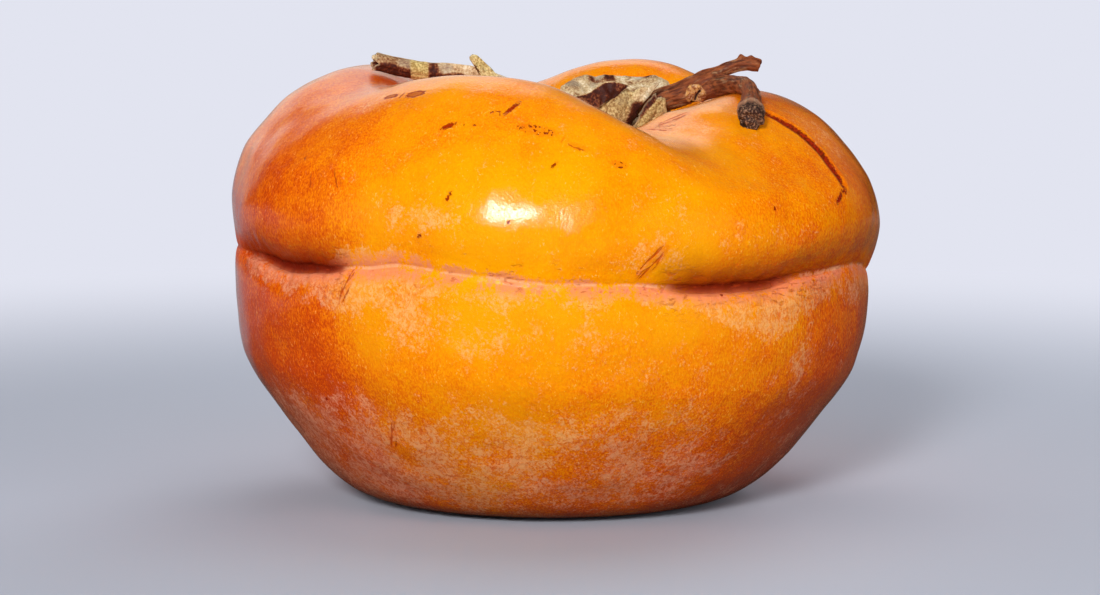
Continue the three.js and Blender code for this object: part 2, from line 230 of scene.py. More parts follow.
# The pale bloom at the fold: azimuth, how far it reaches below and above the crease, and its strength.
BLOOM = [
    (0, 4, 0.1, 0.6), (40, 3, 0.3, 0.5), (90, 4.5, 1.5, 0.6), (140, 3, 0, 0.5), (190, 1.6, -0.2, 0.35),
    (201, 1.6, 0, 0.45), (209, 3.6, 0.1, 0.95), (226, 3.8, 0.1, 1), (232, 6.5, 2.6, 0.95),
    (241, 7, 2.6, 0.8), (250, 4, 1.2, 0.62), (265, 4.5, 0.6, 0.6), (280, 3, 0.4, 0.6),
    (292, 2.6, 0.1, 0.85), (302, 4.5, 0.1, 0.9), (311, 8, 0.1, 0.95), (322, 4, 0, 0.8),
    (338, 5, 0, 0.7),
]

# Other pale patches: middle, reach along each axis, strength.
BLOOM_PATCHES = [
    ((-19, -40, 31), (9, 6, 4), 0.7), ((-6, -44, 28), (12, 6, 4), 0.5),
    # The patch at (18, -16, 56), in the trough before the stalk, is partly pale bloom and partly a
    # painted reflection.
    ((10, -43, 26), (10, 6, 5), 0.4), ((18, -16, 56), (8.5, 9, 5), 0.76),
    ((38, -12, 52), (6, 5, 8), 0.6), ((-2, -6, 56), (9, 6, 5), 0.6), ((-22, -24, 59), (10, 9, 4), 0.3),
    ((14, -34, 55), (6, 5, 3), 0.4), ((-16, -42, 44), (10, 6, 3), 0.52),
    ((26, -34, 41), (8, 6, 3), 0.5), ((12, -42, 40), (6, 6, 5), 0.45), ((34, -28, 22), (8, 8, 8), 0.4),
    ((7, 22, 57), (9, 8, 5), 0.55), ((-36, 26, 26), (9, 9, 9), 0.55), ((30, 34, 44), (12, 9, 6), 0.5),
]

# The crack in the shoulder, and its half-width and depth and the height of the lips beside it.
CRACK = [
    (30.3, -16.1, 56.5), (34.6, -16.6, 54), (37.8, -17.7, 51.2), (39.3, -19.4, 49), (40.7, -21.2, 46.9),
]
CRACK_HALF = 0.6
CRACK_DEPTH = 0.35
CRACK_LIP = 0.1

# Marks in the skin, by kind: the places that each runs through, and its half-width. One place is a dot.
SOLID, SCRATCHED, DOTTED, SCAR, SPLIT = range(1, 6)
MARKS = {
    SPLIT: [
        (CRACK, 0.82), ([(40.4, -23, 45.7), (39.7, -24.7, 44.7)], 0.3),
    ],
    SCRATCHED: [
        ([(14.2, -19.4, 54.6), (16.4, -20.9, 54.4)], 0.5),
        ([(15.6, -18, 55.1), (18.9, -17, 56.3)], 0.8),
        ([(-21.2, -33.9, 15.1), (-21.3, -31.2, 11.6)], 0.55),
        ([(12.2, -43, 36.8), (14.9, -43.4, 39.6)], 0.9),
        ([(-26.1, -35, 35.4), (-27.9, -34.8, 32.4)], 0.6),
        ([(-38.9, -21, 50.9), (-40.9, -19.4, 46.6)], 0.4),
        ([(-28.9, -33, 49.2), (-28.6, -34, 48)], 0.5),
        ([(-32.4, -30, 48.4), (-32.6, -30.8, 47.4)], 0.4), ([(3, -40.3, 54), (4.6, -40.3, 53.2)], 0.4),
        ([(30, 30, 40), (33, 27, 36)], 0.8), ([(-30, 32, 22), (-32, 31, 18)], 0.8),
    ],
    SCAR: [
        ([(-22.3, -25.5, 59.5), (-21.4, -25.9, 59.5)], 0.6),
        ([(-19, -27.7, 59.8), (-17.8, -28.3, 60)], 0.8), ([(14, 30, 57), (15.4, 29.4, 57.2)], 0.5),
    ],
    DOTTED: [
        ([(-3.4, -38.2, 56), (-0.1, -38.6, 55.3)], 0.8), ([(8.6, -41, 51), (9.4, -41, 50.8)], 0.5),
        ([(-8, 40, 44), (-5, 40.7, 43)], 0.8),
    ],
    SOLID: [
        ([(-5.9, -36, 57.7), (-4.4, -34.5, 59)], 0.28),
        ([(-14.1, -36, 55.5), (-13.1, -36.2, 56.1)], 0.4),
        ([(-13.5, -42.5, 46.4), (-13.1, -42.5, 47.2)], 0.19),
        ([(0.4, -42.1, 50.8), (0.7, -42.1, 51.3)], 0.16), ([(-17.5, -42.1, 41.5)], 0.16),
        ([(-44.2, -13.7, 40.8)], 0.24), ([(30.1, -34, 44.5)], 0.16), ([(-5.5, -45, 43.6)], 0.14),
        ([(-33.4, -26.6, 50.6)], 0.15), ([(-10.2, -37.4, 56.4)], 0.12), ([(-7.9, -36, 58)], 0.12),
        ([(-32.4, -30.2, 16.5)], 0.22), ([(24, -38.8, 33.9)], 0.14),
        ([(20, 36, 50), (21, 35, 50.6)], 0.2), ([(-38, 22, 44)], 0.22),
        ([(36, 22, 22), (36.4, 21.6, 21)], 0.2), ([(-41, 4, 20)], 0.18), ([(6, 42, 20)], 0.16),
        ([(42, 12, 46)], 0.16),
    ],
}
MARK_REACH = 1.3
NO_MARK = 99.0
DOT_LENGTH = 0.1


def trough_depth(azimuths, share):
    total = np.zeros_like(azimuths)
    for at, depth, before, after, swing in TROUGHS:
        off = turn(azimuths, at + share * swing)
        total += depth * bell(off, np.where(off < 0, before, after))
    return total


def stretch(knots):
    """Rings of radius and height through knots of radius, height and ring count."""
    level = np.zeros(COLUMNS)
    line = [np.stack([radius + level, height + level]) for radius, height, _ in knots]
    return spline(line, ring_spots([knot[2] for knot in knots[:-1]]))


def lip(fold, depth, radius, pull, rise, rings):
    return radius - pull * depth, fold + rise, rings


def fruit_rings():
    """The fruit's rings of points from the blossom end to the middle of the hollow, each azimuth, and
    the ring in the crease of the fold."""
    azimuths = np.arange(COLUMNS) * 360 / COLUMNS
    fold = around(FOLD, azimuths, 1)
    depth = around(FOLD, azimuths, 2)
    lobe = around(LOBES, azimuths, 1)
    rim = RIM_HEIGHT + lobe - trough_depth(azimuths, 0)
    crease = WAIST_RADIUS - depth
    belly = [*BELLY, lip(fold, depth, *LOWER_LIP), (crease, fold, 0)]
    over = [(crease, fold, CREASE_RINGS), lip(fold, depth, *UPPER_LIP)]
    for radius, height, pull, drop, lift, swing, rings in SHOULDER:
        trough = trough_depth(azimuths, swing)
        height = height + ease(-height, -52, -41) * np.maximum(0, fold - LEVEL_FOLD)
        over.append((radius - pull * trough, height + lift * lobe - drop * trough, rings))
    bank = bell(turn(azimuths, BANK_AZIMUTH), BANK_HALF)
    for radius, share, rise, rings in HOLLOW:
        over.append((radius, HOLLOW_FLOOR + (rim - HOLLOW_FLOOR) * share + rise * bank, rings))
    under = np.concatenate([stretch([*BLOSSOM_END, BELLY[0]])[1:], stretch(belly)])
    radius, height = np.concatenate([under, stretch(over)]).transpose(1, 0, 2)
    inward = 1 - ease(radius, 8, RIM_RADIUS)
    hollow = ease(height, HOLLOW_FLOOR - 8, HOLLOW_FLOOR - 2)
    shoulder = ease(height, SHOULDER_HEIGHT - 8, SHOULDER_HEIGHT + 2)
    x = radius * np.cos(np.radians(azimuths)) + SHOULDER_SHIFT * shoulder + HOLLOW_SHIFT * inward * hollow
    y = radius * np.sin(np.radians(azimuths)) * FRONT_TO_BACK
    lean = LEAN * x * ease(height, 0, SHOULDER_HEIGHT)
    return np.stack([x, y, height - lean], -1), azimuths, len(under)


def ring_normals(rings):
    east = np.roll(rings, -1, 1) - np.roll(rings, 1, 1)
    return unit(np.cross(east, np.gradient(rings, axis=0)))


def line_distance(points, line):
    """The distance of each point from a line through a few places."""
    line = np.array(line, float)
    best = np.full(points.shape[:-1], np.inf)
    for start, end in zip(line[:-1], line[1:]):
        along = end - start
        share = np.clip((points - start) @ along / (along @ along), 0, 1)
        best = np.minimum(best, norm(points - start - share[..., None] * along, axis=-1))
    return best


def onto_skin(places, points, normals):
    """The places, each moved straight onto the skin."""
    moved = []
    for place in places:
        nearest = norm(points - place, axis=1).argmin()
        moved.append(place - normals[nearest] * ((place - points[nearest]) @ normals[nearest]))
    return np.array(moved)


def mark_values(points, normals):
    """For each point near a mark: how far it is along and across it, and the mark's half-length,
    half-width and kind."""
    place = np.full(points.shape, NO_MARK)
    size = np.zeros(points.shape)
    nearest = np.full(len(points), np.inf)
    for kind, line, half in [(kind, *mark) for kind, marks in MARKS.items() for mark in marks]:
        if len(line) == 1:
            line = [line[0], np.add(line[0], (DOT_LENGTH, 0, DOT_LENGTH))]
        line = onto_skin(line, points, normals)
        outward = normals[norm(points - line.mean(0), axis=1).argmin()]
        lengths = norm(np.diff(line, axis=0), axis=1)
        starts = np.cumsum(lengths) - lengths
        closest = np.full(len(points), half + MARK_REACH)
        for start, end, length, done in zip(line[:-1], line[1:], lengths, starts):
            along = (end - start) / length
            run = (points - start) @ along
            gap = norm(points - start - np.clip(run, 0, length)[:, None] * along, axis=1)
            own = (gap < closest) & (gap - half < nearest)
            closest[own] = gap[own]
            across = (points[own] - start) @ unit(np.cross(outward, along))
            place[own] = np.stack([done + run[own] - lengths.sum() / 2, across, 0 * across], -1)
            size[own] = (lengths.sum() / 2, half, kind)
        nearest = np.minimum(nearest, np.where(closest < half + MARK_REACH, closest - half, np.inf))
    return place, size


def skin_relief(rings, off, deep):
    """The fine relief of the skin, from the distance along it from the crease and the crease's share."""
    relief = 0.16 * waves(rings, 14, 30, 1) + 0.03 * waves(rings, 4, 8, 2)
    relief *= ease(rings[..., 2], 0, 4)
    relief -= (0.14 + 0.2 * deep) * bell(off, 0.5)
    relief -= 0.9 * deep * bell(off, np.where(off > 0, 3.2, 0.5))
    away = line_distance(rings, CRACK) / CRACK_HALF
    relief += CRACK_LIP * bell(away - 2, 0.8) - CRACK_DEPTH * bell(away, 1)
    puckers = 0.07 * waves(rings * (1, 1, 0.3), 1.4, 3.5, 3) * bell(off, 3)
    return relief + puckers * (0.3 + deep)


def bloom_share(rings, heights, off, azimuths):
    """How much pale bloom the skin has: at the fold, low down and in patches."""
    below, above, strength = (around(BLOOM, azimuths, column) for column in (1, 2, 3))
    below = below + 0.5 * waves(rings, 3, 9, 6)
    above = above + 0.5 * ease(above, 0.5, 2) * waves(rings, 1.5, 5, 5)
    bloom = strength * ease(off, -below - 1.3, -below + 1.3)
    bloom *= 1 - ease(off, above - 0.4, above + 0.8)
    lower = ease(-heights, -23, -12) * ease(heights, -2, 5)
    lower *= 1 - 0.6 * ease(rings[..., 0], 12, 30)
    lower *= 1 + 0.12 * ease(-rings[..., 0], 2, 20)
    bloom = np.maximum(bloom, lower * (0.72 + 0.14 * waves(rings, 5, 14, 7)))
    for middle, width, amount in BLOOM_PATCHES:
        share = np.exp(-(((rings - middle) / width) ** 2).sum(-1))
        bloom = np.maximum(bloom, amount * share)
    return bloom


def fruit_piece():
    rings, azimuths, crease = fruit_rings()
    steps = norm(np.diff(rings, axis=0), axis=-1)
    along = np.concatenate([np.zeros((1, COLUMNS)), np.cumsum(steps, 0)])
    off = along - along[crease]
    near = ease(np.abs(off), 0.6, 2.5) * (1 - ease(np.abs(off), 11, 15))
    for _ in range(FOLD_SMOOTHING):
        outward = ring_normals(rings)[1:-1]
        bend = ((rings[2:] + rings[:-2] - 2 * rings[1:-1]) * outward).sum(-1)
        rings[1:-1] += SMOOTHING_STEP * (near[1:-1] * bend)[..., None] * outward
    normals = ring_normals(rings)
    deep = ease(around(FOLD, azimuths, 2), 0.8, 1.9)
    heights = rings[..., 2]
    rings = rings + normals * skin_relief(rings, off, deep)[..., None]
    rings[..., 2] = np.maximum(rings[..., 2], 0)
    points, faces = closed(rings, [(0, 0, BLOSSOM_END[0][1]), rings[-1].mean(0)])

    def with_poles(value):
        value = np.broadcast_to(value, off.shape)
        return np.concatenate([value.ravel(), [value[0].mean(), value[-1].mean()]])

    # The tone from the table, eased between heights: partly the skin's own colour, partly painted shade.
    spots = np.interp(heights, TONE_HEIGHTS, np.arange(len(TONE_HEIGHTS)))
    tone = sum(
        np.maximum(0, 1 - np.abs(spots - number)) * around(TONE, azimuths, number + 1)
        for number in range(len(TONE_HEIGHTS))
    )
    outward = np.concatenate([normals.reshape(-1, 3), [(0, 0, -1), (0, 0, 1)]])
    mark, mark_size = mark_values(points, outward)
    values = {
        "mark": mark,
        "mark_size": mark_size,
        "fold": with_poles(off),
        "deep": with_poles(deep),
        "tone": with_poles(tone),
        "bloom": with_poles(bloom_share(rings, heights, off, azimuths)),
    }
    return make_mesh("fruit_skin", points, faces, values)


# ---- the calyx

GAP = 0.3
CALYX_X = 7.6
CALYX_Y = 0.5
DISC_COLUMNS = 144
# Radius, height above the floor of the hollow, rings to the next.
DISC_OUTLINE = [
    (5, 0, 4), (6.7, 0.1, 4), (7, 0.9, 4), (6.6, 1.3, 4), (5, 1.9, 6), (2.5, 2.4, 6), (0.4, 2.6, 1),
]
LEAF_THICKNESS = 0.5
LEAF_CLEARANCE = GAP * 0.4
LEAF_FILL = 0.3
WELL_ABOVE = 200

# From the root to the tip: the middle, half-width, and roll of the far and the near side in degrees.
LEFT_SEPAL = [
    ((3.4, 0.6, 52.9), 4.2, 20, 25),
    ((-2, 0.6, 55.8), 5.5, 40, 50),
    ((-8, -0.4, 58.9), 4.4, 62, 70),
    ((-13, -1.6, 60.2), 3.7, 96, 112),
    ((-17.6, -2.6, 60.5), 3.7, 160, 160),
    ((-21.5, -3.8, 61.2), 3.8, 163, 163),
    ((-25.6, -5.4, 62.25), 3.7, 165, 165),
]
# The others: rows across the leaf, one after another along it.
LEFT_STRIP = [
    [(-9.6, -4.3, 60.2), (-6.6, -4.5, 60)],
    [(-10.3, -4.2, 62), (-8.1, -4.3, 61.7)],
    [(-10.9, -4, 63.3), (-9.8, -4.1, 63.1)],
    [(-11.5, -3.8, 64.2), (-11.2, -3.8, 64.2)],
]
FRONT_SEPAL = [
    [(4.4, -2.8, 52.9), (6.4, -4.2, 52.6), (9.2, -4.2, 52.6), (11, -3, 52.9)],
    [(4.6, -7.2, 56), (7.4, -7.6, 55.6), (10.2, -7.2, 55.2), (12.2, -5.6, 55.4)],
    [(6, -7.4, 58.2), (8.6, -7.4, 58.2), (11.4, -6.6, 57.8), (13.4, -5.4, 57.4)],
    [(7.2, -6.6, 60.2), (9.6, -6.4, 60), (12.6, -5.4, 59.4), (16.2, -4.6, 60.6)],
]
FRONT_FOLD = [
    [(2.2, -7.4, 58.4), (5.2, -8.6, 58.9), (8.2, -8, 60.6), (11.2, -7, 60)],
    [(3.2, -8.4, 57.6), (6.2, -9.2, 57.6), (8.4, -8.6, 58.8), (10.4, -7.4, 59.2)],
    [(4.6, -8.6, 56.4), (6.4, -9.2, 56.6), (8, -8.8, 57.6), (9.6, -7.8, 58.4)],
]
RIGHT_SEPAL = [
    [(11, -3.4, 52.8), (11.8, -2, 52.6), (12.2, -0.6, 52.6), (12.4, 1.6, 52.6), (11.6, 4.2, 52.8)],
    [(12, -6.2, 54.8), (13.6, -5, 54.2), (14.2, -3.2, 53.9), (14.8, 1.6, 54), (14.6, 5.4, 54.6)],
    [(13, -6.4, 56.4), (14.8, -5.6, 55.9), (15.6, -3.6, 54.8), (16, 1.6, 54.6), (16.2, 6, 55.6)],
    [(15.4, -6.2, 59), (16.4, -5.2, 58.2), (16.9, -3.6, 55.6), (17.4, 1.6, 55), (17.8, 6, 56.8)],
]
BACK_SEPAL = [
    [(4.4, 3.6, 52.8), (6.4, 5, 52.6), (9.4, 5, 52.6), (11.2, 3.8, 52.8)],
    [(1.6, 8.6, 56.6), (6.4, 9.8, 55.8), (11.6, 9.6, 56), (17, 8, 57)],
    [(1.8, 12.4, 59), (6.6, 13.6, 58.6), (12.4, 13.6, 58.6), (18, 12, 59.2)],
    [(4.4, 15, 60.2), (8, 16.4, 60.4), (12.4, 16.4, 60.3), (16.8, 14.8, 60.2)],
]
# X and height of the line above which the left sepal is pale.
LEFT_RIDGE = ((-25.6, -21.5, -17.6, -13, -8, -2, 4), (63.5, 62.5, 61.8, 61.6, 60.8, 58, 54))


def strap(stations, columns):
    """Coarse rows for a strap that rolls up along its two sides."""
    middles = np.array([station[0] for station in stations], float)
    spots = np.arange(len(stations), dtype=float)
    along = unit(spline(middles, spots + 0.02) - spline(middles, spots - 0.02))
    side = unit(np.cross((0, 0, 1), along))
    up = np.cross(along, side)
    across = np.linspace(1, -1, columns + 1)
    half, far, near = (np.array([station[k] for station in stations], float)[:, None] for k in (1, 2, 3))
    roll = np.radians(np.where(across < 0, far, near))
    sideways = half / roll * np.sin(across * roll)
    upward = half / roll * (1 - np.cos(across * roll))
    return middles[:, None] + side[:, None] * sideways[..., None] + up[:, None] * upward[..., None]


def grid_faces(rows, columns, first, flip):
    at = first + np.arange(rows - 1)[:, None] * columns + np.arange(columns - 1)
    quads = np.stack([at, at + columns, at + columns + 1, at + 1], -1).reshape(-1, 4)
    return (quads[:, ::-1] if flip else quads).tolist()


def border(rows, columns):
    """The indices round the edge of a grid, in order."""
    at = np.arange(rows * columns).reshape(rows, columns)
    return np.concatenate([at[0, :-1], at[:-1, -1], at[-1, :0:-1], at[:0:-1, 0]])


def leaf(name, coarse, size, seed, ragged, crumple, tone_of, skin):
    """A thin dry leaf on the smooth surface through a coarse grid, with a ragged tip and sides."""
    rows, columns = size
    down, across = np.meshgrid(np.linspace(0, 1, rows), np.linspace(0, 1, columns), indexing="ij")
    rim = np.stack([across * 9, np.zeros_like(across), down * 9], -1)
    tip = ragged * (0.5 + 0.5 * np.clip(waves(rim * (1, 1, 0), 0.7, 4, seed), -1, 1))
    sides = ragged * (0.35 + 0.35 * np.clip(waves(rim * (0, 1, 1), 0.7, 4, seed + 1), -1, 1))
    points = patch(coarse, down * (1 - tip), 0.5 + (across - 0.5) * (1 - sides))
    normals = grid_normals(points)
    veins = waves(np.stack([across * 16, down * 2.5, 0 * down], -1), 1.5, 4, seed + 2)
    relief = crumple * (0.5 * waves(points, 2.5, 6, seed + 3) + 0.22 * waves(points, 0.9, 1.8, seed + 4))
    relief += 0.09 * veins * ease(down, 0, 0.15)
    points = points + normals * relief[..., None]
    normals = grid_normals(points)
    inset = np.minimum(np.minimum(across, 1 - across) * columns, (1 - down) * rows)
    thick = LEAF_THICKNESS * (0.45 + 0.55 * ease(inset, 0, 4))
    under = points - normals * thick[..., None]
    for face, clear in ((under, LEAF_CLEARANCE), (points, LEAF_CLEARANCE + LEAF_FILL)):
        for point in face.reshape(-1, 3):
            hit = skin.ray_cast(Vector((point[0], point[1], WELL_ABOVE)), Vector((0, 0, -1)))[0]
            point[2] = max(point[2], hit[2] + clear)
    edge = border(rows, columns)
    low = edge + rows * columns
    walls = np.stack([edge, np.roll(edge, -1), np.roll(low, -1), low], -1).tolist()
    faces = grid_faces(rows, columns, 0, False) + grid_faces(rows, columns, rows * columns, True) + walls
    both = np.concatenate([points.reshape(-1, 3), under.reshape(-1, 3)])
    upper = np.repeat([1.0, 0.0], rows * columns)
    down, across, inset = (np.tile(value.ravel(), 2) for value in (down, across, inset))
    tone, yellow = tone_of(both, down, across, upper)
    values = dict(tone=tone, yellow=yellow, edge=1 - ease(inset, 0, 3), vein=np.tile(veins.ravel(), 2))
    return make_mesh(name, both, faces, values)


def disc():
    """The domed middle of the calyx, a little lobed, with a raised ring round the stalk's foot."""
    azimuths = np.radians(np.arange(DISC_COLUMNS) * 360 / DISC_COLUMNS)
    spots = ring_spots([knot[2] for knot in DISC_OUTLINE])
    radius, height = spline([knot[:2] for knot in DISC_OUTLINE], spots).T
    reach = radius[:, None] * (1 + 0.05 * np.cos(4 * azimuths))
    x = CALYX_X + reach * np.cos(azimuths)
    y = CALYX_Y + reach * np.sin(azimuths)
    z = HOLLOW_FLOOR + GAP + height[:, None] + 0 * x
    rings = np.stack([x, y, z], -1)
    fibre = waves(circle(7, azimuths), 0.7, 2, 11)
    relief = 0.07 * fibre + 0.05 * waves(rings, 1, 3, 12)
    rings[..., 2] += relief * ease(height, 0.5, 1.2)[:, None]
    points, faces = closed(rings, [rings[0].mean(0), rings[-1].mean(0)])
    blank = np.zeros(len(points))
    fibres = np.append(np.tile(fibre, len(rings)), [0, 0])
    values = dict(tone=0.3 + 0.1 * waves(points, 2, 5, 13), yellow=blank, edge=blank, vein=fibres)
    return make_mesh("calyx_disc", points, faces, values)


# How pale and how yellow a leaf is at its points, by their shares of the way down and across it.


def left_tone(points, down, across, upper):
    x, _, z = points.T
    height = z - np.interp(x, *LEFT_RIDGE) + 0.2 * waves(points, 1.5, 5, 21)
    tone = 0.08 + 0.6 * ease(height, -0.1, 0.2)
    # A dark stripe across the roll between the yellow band and the pale blade: painted shade of the gap
    # there.
    gap = bell(x + 16.6 + 0.3 * height, 0.7)
    band = ease(x, -20.3, -19.9) * ease(-x, 17.2, 17.6)
    blade = ease(x, -16.6, -16)
    tone = np.maximum(tone, 0.78 * band)
    tone = np.maximum(tone, blade * (0.98 * ease(height, -0.5, 0) + 0.35 * ease(x, -9, -4)))
    tone *= 1 - 0.85 * gap
    tone = tone * np.where(upper > 0.5, 0.75, 1) + 0.25 * ease(-x, 24.9, 25.5)
    return tone, band


def strip_tone(points, down, across, upper):
    tone = 0.78 + 0.08 * waves(points, 1, 3, 22) - 0.35 * (across < 0.14)
    return tone, 0.8 + 0 * down


def front_tone(points, down, across, upper):
    tip = ease(across, 0.6, 0.8) * ease(down, 0.6, 0.75)
    tone = 0.62 + 0.3 * tip - 0.15 * (1 - upper)
    # The slit: a dark band along the side below the tip, painted shade of the gap beside the next sepal.
    slit = ease(across, 0.7, 0.82) * (1 - tip)
    return tone - 0.6 * slit, 0.75 * (1 - tip) * (1 - slit)


def fold_tone(points, down, across, upper):
    rim = ease(-down, -0.12, -0.02)
    return 0.05 + 0.55 * rim + 0.05 * waves(points, 0.8, 2.5, 25), 0.2 * rim


def back_tone(points, down, across, upper):
    # Painted shade in patches along the far edge, where the sepal lies against the fruit.
    edge_shade = ease(waves(points * (1, 1, 0.6), 2, 6, 23), 0.3, 1.2) * ease(down, 0.6, 0.9)
    return 0.7 - 0.58 * edge_shade + 0.08 * waves(points, 1.5, 4, 24), 0 * down


def right_tone(points, down, across, upper):
    lit = ease(points[:, 0] - 14.7 - 0.9 * (points[:, 2] - 57.3), -0.2, 0.15)
    tone = 0.6 - 0.3 * ease(across, 0.5, 0.95)
    return 0.06 + (tone - 0.06) * lit, 0.8 * (1 - across) * lit


# ---- the stalk

STALK_FOOT = [
    ((7.6, 0.5, 53.7), 2.8), ((7.6, 0.5, 54.5), 2.4), ((7.6, 0.5, 55.7), 2.1), ((7.6, 0.5, 57), 1.3),
]
STALK = [
    ((6.9, 0.5, 56), 1.5), ((8.4, 0.4, 56.1), 1.9), ((12.2, -0.2, 56.7), 1.75), ((16.1, -1, 57.6), 1.7),
    ((19.9, -1.8, 59), 1.8), ((23.2, -2.3, 60.5), 1.6), ((24.4, -2.4, 60.9), 1.2),
]
UPPER_TWIG = [
    ((19, -1.7, 59), 1.2), ((22.6, -2.1, 61), 1.15), ((25.9, -2.4, 62.3), 0.9), ((28.1, -2.5, 62.9), 1),
    ((29.4, -2.5, 62.8), 1.05), ((30.3, -2.5, 62.6), 0.9),
]
LOWER_TWIG = [
    ((20, -1.9, 58.8), 1.5), ((23.6, -2.8, 59.6), 1.6), ((25.6, -5, 59.9), 1.5),
    ((26.9, -8, 60.1), 1.38), ((27.7, -11.2, 60.1), 1.26), ((28.1, -14.4, 59.5), 1.22),
    ((28.1, -17.4, 58.2), 1.42), ((27.9, -20.2, 57), 1.8), ((27.8, -22.2, 55.9), 1.75),
]
BARS = [STALK_FOOT, STALK, UPPER_TWIG, LOWER_TWIG]
BAR_COLUMNS = 32
BAR_STEPS = 40
BARK_STEPS = 160
BARK_OFFSET = 50
STEM_VOXEL = 0.14
BUD = np.array([21.05, -3.5, 58.6])
BUD_SLITS = [
    [(0.55, 0, 0.5), (0.1, 0, -0.1), (-0.1, 0, -0.75)],
    [(-0.65, 0, -1), (0, 0, -1.25), (0.65, 0, -1.05)],
]
CORK_END = LOWER_TWIG[-1][0]
CORK_LENGTH = 3.0
# Splinters at the broken end of the upper twig: place, reach, rise.
TWIG_TIPS = [
    ((27.6, -2.5, 63.9), 0.45, 0.6), ((29, -2.5, 63.8), 0.4, 0.3), ((30.4, -2.5, 62.8), 0.5, 0.3),
]


def bar_frames(stations, steps):
    """The middle, two sides and radius at even steps along a bar."""
    spots = np.linspace(0, len(stations) - 1, steps + 1)
    middles = spline([station[0] for station in stations], spots)
    radii = spline([station[1] for station in stations], spots)
    along = unit(np.gradient(middles, axis=0))
    side = np.array([0.0, 1.0, 0.0])
    sides = []
    for direction in along:
        side = unit(side - direction * (side @ direction))
        sides.append(side)
    sides = np.array(sides)
    return middles, sides, np.cross(along, sides), radii


def bar(stations):
    middles, sides, ups, radii = bar_frames(stations, BAR_STEPS)
    angles = np.radians(np.arange(BAR_COLUMNS) * 360 / BAR_COLUMNS)[None, :, None]
    spokes = sides[:, None] * np.cos(angles) + ups[:, None] * np.sin(angles)
    return closed(middles[:, None] + spokes * radii[:, None, None], [middles[0], middles[-1]])


def bark_place(points):
    """How far along its bar each point is, and where across it, for bark that runs with the wood."""
    best = np.full(len(points), np.inf)
    found = np.zeros((len(points), 3))
    for number, stations in enumerate(BARS):
        middles, sides, ups, radii = bar_frames(stations, BARK_STEPS)
        length = np.concatenate([[0], np.cumsum(norm(np.diff(middles, axis=0), axis=1))])
        gaps = norm(points[:, None] - middles, axis=-1) / radii
        nearest = gaps.argmin(1)
        gap = gaps[np.arange(len(points)), nearest]
        spoke = points - middles[nearest]
        across = [(spoke * sides[nearest]).sum(1), (spoke * ups[nearest]).sum(1)]
        place = np.stack([length[nearest] + BARK_OFFSET * number, *across], -1)
        closer = gap < best
        best[closer] = gap[closer]
        found[closer] = place[closer]
    return found


def read(items, label):
    """A vector of each of the items of a mesh, as rows."""
    values = np.empty(len(items) * 3)
    items.foreach_get(label, values)
    return values.reshape(-1, 3)


def stem_piece():
    points, faces = [], []
    for stations in BARS:
        more, sides = bar(stations)
        faces += [tuple(len(points) + corner for corner in side) for side in sides]
        points += more.tolist()
    rough = make_mesh("stem_rough", np.array(points), faces, {})
    remesh = rough.modifiers.new("remesh", "REMESH")
    remesh.mode = "VOXEL"
    remesh.voxel_size = STEM_VOXEL * MM
    smooth = rough.modifiers.new("smooth", "SMOOTH")
    smooth.factor = 0.5
    smooth.iterations = 6
    made = rough.evaluated_get(bpy.context.evaluated_depsgraph_get()).to_mesh()
    points = read(made.vertices, "co") / MM
    normals = read(made.vertices, "normal")
    faces = [tuple(polygon.vertices) for polygon in made.polygons]
    bpy.data.objects.remove(rough)

    bark = bark_place(points)
    ridges = waves(bark * (0.2, 1, 1), 0.35, 0.9, 31)
    knots = waves(bark * (0.6, 1, 1), 1.5, 4, 32)
    relief = 0.035 * ridges + 0.07 * knots
    from_end = norm(points - CORK_END, axis=1)
    cork = 1 - ease(from_end, 2.4, CORK_LENGTH)
    collar = bell(from_end - CORK_LENGTH, 0.35)
    cracks = np.abs(waves(points, 0.8, 2.0, 33))
    relief += cork * (0.07 * waves(points, 0.6, 1.5, 34) - 0.22 * bell(cracks, 0.22))
    relief += 0.14 * collar
    for tip, reach, rise in TWIG_TIPS:
        relief += rise * np.exp(-((points - tip) ** 2).sum(-1) / reach**2)
    off = points - BUD
    oval = np.sqrt((off[:, 0] / 1.5) ** 2 + (off[:, 2] / 1.4) ** 2 + np.maximum(off[:, 1] - 1, 0) ** 2)
    oval *= 1 + 0.08 * waves(points, 1.2, 2.4, 35)
    bud = 1 - ease(oval, 0.8, 1.15)
    near_slit = np.min([line_distance(off * (1, 0, 1), line) for line in BUD_SLITS], axis=0)
    slit = bell(near_slit, 0.17) * (1 - ease(oval, 0.9, 1.1))
    relief = relief * (1 - 0.7 * bud) + 0.3 * bell(oval - 0.75, 0.3) - 0.5 * slit
    points = points + normals * relief[:, None]
    values = dict(bark=bark, ridge=ridges, cork=cork, collar=collar, crack=cracks, bud=bud, slit=slit)
    return make_mesh("stalk", points, faces, values)


# ---- materials


def srgb(red, green, blue):
    """A colour given in 0 to 255 steps, as the linear values that Blender uses."""
    shares = [channel / 255 for channel in (red, green, blue)]
    linear = [s / 12.92 if s <= 0.04045 else ((s + 0.055) / 1.055) ** 2.4 for s in shares]
    return (*linear, 1.0)


